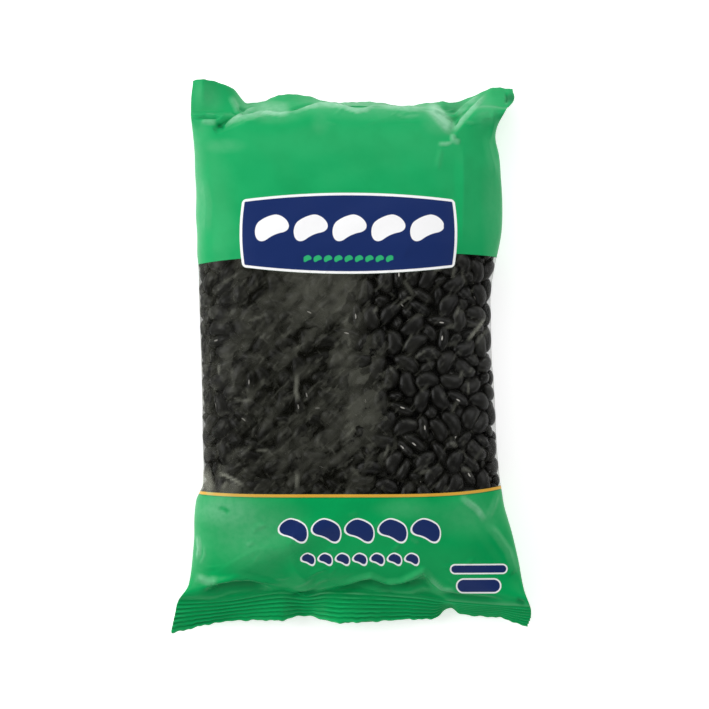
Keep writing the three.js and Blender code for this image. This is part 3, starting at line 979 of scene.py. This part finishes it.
def clear_film(tree, where, x, y, worn_and_highlight):
    """Clear film that shows what is behind it, with gloss, pale creases that are painted glints, and
    uneven haze that is a painted reflection over the beans.
    """
    slope, shade = facets(tree, where, scale=230, turn=48)
    rising = streaks(tree, where, scale=180, turn=40)
    falling = streaks(tree, where, scale=260, turn=-35)
    crinkle = rising * 0.5 + falling * 0.4 + slope * 0.8
    bump = add_node(tree, "ShaderNodeBump", Height=crinkle, Strength=0.4, Distance=0.001)
    gloss = add_node(tree, "ShaderNodeBsdfAnisotropic", Color=(1, 1, 1, 1), Roughness=0.26,
                     Normal=bump.outputs[0])
    bare = Field(tree, add_node(tree, "ShaderNodeFresnel", IOR=1.45, Normal=bump.outputs[0]).outputs[0])
    through_it = tree.nodes.new("ShaderNodeBsdfTransparent")
    # The painted reflection covers the window's left, and little past the fold on its right
    past_fold = (x - REFLECTION_EDGE).step(-0.3, 0.3) * (y - REFLECTION_EDGE_FOOT).step(-3, 3)
    right = (x - shade * 26).step(-8, 8).most(past_fold)
    cover = (-right + 1) * LEFT_REFLECTION + LEAST_REFLECTION
    broad = streaks(tree, where, scale=210, turn=44).step(0.35, 0.65)
    # How pale the painted reflection is, from facets, broad streaks and patches
    pale = broad * 0.45 + shade * 0.4 - slope * 0.5 + 0.02
    for patch_x, patch_y, half_width, half_height, strength in PAINTED_REFLECTION_PATCHES:
        away = ((x - patch_x) / half_width).length_with((y - patch_y) / half_height)
        pale = pale + (-away).step(-1, -0.3) * strength
    veil = add_node(tree, "ShaderNodeBsdfDiffuse",
                    Color=paint(tree, DARK_REFLECTION, PALE_REFLECTION, pale.most(0).least(1.2)))
    glint_paint = add_node(tree, "ShaderNodeBsdfDiffuse", Color=GLINT_GREY)
    # Painted glints: fine streaks, the creases' tone, and a pale edge where the film is seen at a slant
    fine_rising = streaks(tree, where, scale=520, turn=45).step(0.56, 0.72)
    fine_falling = streaks(tree, where, scale=480, turn=-50).step(0.6, 0.76)
    glints = (fine_rising + fine_falling) * 0.055 + worn_and_highlight * 0.35 + bare.step(0.3, 0.8) * 0.35
    veiled = blend(tree, cover, through_it, veil)
    return blend(tree, bare * 0.06, blend(tree, glints, veiled, glint_paint), gloss)


def film_material():
    """Printed green film that turns clear in the window."""
    material, tree, where = new_material("printed_film")
    split = add_node(tree, "ShaderNodeSeparateXYZ", Vector=where)
    x, y, z = (Field(tree, split.outputs[k]) * (1 / MM) for k in range(3))
    front = z.step(11, 12)  # keeps the label and the figures off the back
    colour, label, inked = print_layers(tree, where, x, y, front)
    # The first attribute is pale wear with painted highlights and sheen, the second painted shade in folds
    # and grooves.
    worn_and_highlight = Field(tree, attribute(tree, "worn_and_highlight", "Fac"))
    painted_shade = Field(tree, attribute(tree, "painted_shade", "Fac"))
    speckle = noise(tree, where, 400, 2).step(0.25, 0.7) * 0.3 + 0.7
    # On the bottom seal the pale tone is a painted highlight in bright green, elsewhere pale wear with a
    # painted highlight.
    over_seal = y.step(BOTTOM_SEAL["y"] - 2, BOTTOM_SEAL["y"] + 4)
    pale = paint(tree, HIGHLIGHT_GREEN, WORN_AND_HIGHLIGHT_GREEN, over_seal)
    colour = paint(tree, colour, pale, worn_and_highlight * speckle * 1.25 * (-inked + 1))
    # Painted shade darkens the folds and grooves.
    colour = paint(tree, colour, SHADE_AND_LINE_GREEN, painted_shade * 0.8)

    below_top = (y - window_edge(WINDOW["top"], x)).inside()
    over_foot = (window_edge(WINDOW["foot"], x) - y).inside()
    clear = below_top * over_foot * z.step(PANEL - 0.1, PANEL + 0.1) * (-label + 1)

    crinkle = noise(tree, where, 90, 3, 0.6) * 0.6 + noise(tree, where, 420, 2) * 0.12
    bump = add_node(tree, "ShaderNodeBump", Height=crinkle, Strength=0.3, Distance=0.0008)
    dull = noise(tree, where, 35, 3) * 0.15 + 0.3
    printed = add_node(tree, "ShaderNodeBsdfPrincipled", Base_Color=colour, Roughness=dull,
                       Specular_IOR_Level=0.1, Normal=bump.outputs[0])
    pane = clear_film(tree, where, x, y, worn_and_highlight)
    add_node(tree, "ShaderNodeOutputMaterial", Surface=blend(tree, clear, printed, pane).outputs[0])
    return material


def bean_material():
    """Black bean skin, a little uneven, with the small white scar on its hollow side."""
    material, tree, where = new_material("black_bean_skin")
    local = add_node(tree, "ShaderNodeSeparateXYZ", Vector=attribute(tree, "in_bean", "Vector"))
    a, b, c = (Field(tree, local.outputs[k]) for k in range(3))
    scar = ((a / 0.17).length_with(c / 0.11) - 1).least(1)
    white = (-scar).step(-0.2, 0.2) * (-b).step(0.2, 0.4)
    shade = Field(tree, attribute(tree, "shade", "Fac"))
    colour = paint(tree, DARKEST_BEAN, PALEST_BEAN, shade)
    colour = paint(tree, colour, SCAR_WHITE, white)
    fine = noise(tree, where, 900, 2)
    bump = add_node(tree, "ShaderNodeBump", Height=fine, Strength=0.2, Distance=0.0003)
    dull = noise(tree, where, 160, 2) * 0.2 + 0.3
    skin = add_node(tree, "ShaderNodeBsdfPrincipled", Base_Color=colour, Roughness=dull,
                    Specular_IOR_Level=0.3, Normal=bump.outputs[0])
    add_node(tree, "ShaderNodeOutputMaterial", Surface=skin.outputs[0])
    return material


def plain_material(name, colour, roughness):
    material, tree, where = new_material(name)
    dull = noise(tree, where, 120) * 0.1 + roughness
    shader = add_node(tree, "ShaderNodeBsdfPrincipled", Base_Color=colour, Roughness=dull)
    add_node(tree, "ShaderNodeOutputMaterial", Surface=shader.outputs[0])
    return material


def floor_material():
    """A white table that glows a little, so that shadows stay pale."""
    material, tree, where = new_material("floor")
    dull = noise(tree, where, 3) * 0.1 + 0.65
    shader = add_node(tree, "ShaderNodeBsdfPrincipled", Base_Color=TABLE_WHITE, Roughness=dull,
                      Emission_Color=(1, 1, 1, 1), Emission_Strength=0.56)
    add_node(tree, "ShaderNodeOutputMaterial", Surface=shader.outputs[0])
    return material


# The object

rng = np.random.default_rng(11)
pile, beans = bean_pile(rng)
pile.data.materials.append(bean_material())
core = heap_core()
core.data.materials.append(plain_material("heap_core", CORE_BLACK, 0.6))
film = film_sheet(beans, rng)
film.data.materials.append(film_material())
seam = back_seam()
seam.data.materials.append(plain_material("seam_film", GREEN, 0.32))

for piece, node, slot in (
    (film, "bag", "printed_film"),
    (seam, "bag", "printed_film"),
    (pile, "beans", "black_bean"),
    (core, "beans", "black_bean"),
):
    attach(piece, "root")
    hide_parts(node)


# The studio, in metres


def area_light(name, place, size, power):
    """A rectangular light, turned to the bag."""
    data = bpy.data.lights.new(name, "AREA")
    data.shape = "RECTANGLE"
    data.size, data.size_y = size
    data.energy = power
    light = bpy.data.objects.new(name, data)
    light.location = place
    bag_middle = Vector((0, 0, 0.015))
    light.rotation_euler = (bag_middle - Vector(place)).to_track_quat("-Z", "Y").to_euler()
    bpy.context.scene.collection.objects.link(light)


def studio():
    scene = bpy.context.scene
    far = 3 / MM
    corners = [(-far, -far, 0), (far, -far, 0), (far, far, 0), (-far, far, 0)]
    floor = mesh_object("floor", corners, [(0, 1, 2, 3)])
    floor.data.materials.append(floor_material())

    world = bpy.data.worlds.new("studio")
    world.use_nodes = True
    background = world.node_tree.nodes["Background"]
    background.inputs["Color"].default_value = (1, 1, 1, 1)
    background.inputs["Strength"].default_value = 0.18
    scene.world = world

    area_light("key", place=(-1.25, 0.25, 0.8), size=(1.1, 1.1), power=18)
    area_light("upper_fill", place=(0.1, 1.2, 1.1), size=(1.2, 0.7), power=8)
    area_light("right_fill", place=(1.2, 0.5, 1.0), size=(1.2, 1.2), power=7.5)
    area_light("lower_fill", place=(0.1, -1.3, 1.0), size=(1.2, 0.7), power=4)

    camera_data = bpy.data.cameras.new("camera")
    camera_data.lens = 300
    camera_data.sensor_width = 36
    camera = bpy.data.objects.new("camera", camera_data)
    distance = PHOTO_WIDTH * PIXEL * camera_data.lens / camera_data.sensor_width
    camera.location = Vector((*PHOTO_MIDDLE, distance + SIDE_HEIGHT)) * MM
    camera_data.clip_end = 10
    scene.collection.objects.link(camera)
    scene.camera = camera
    scene.view_settings.view_transform = "Standard"


studio()
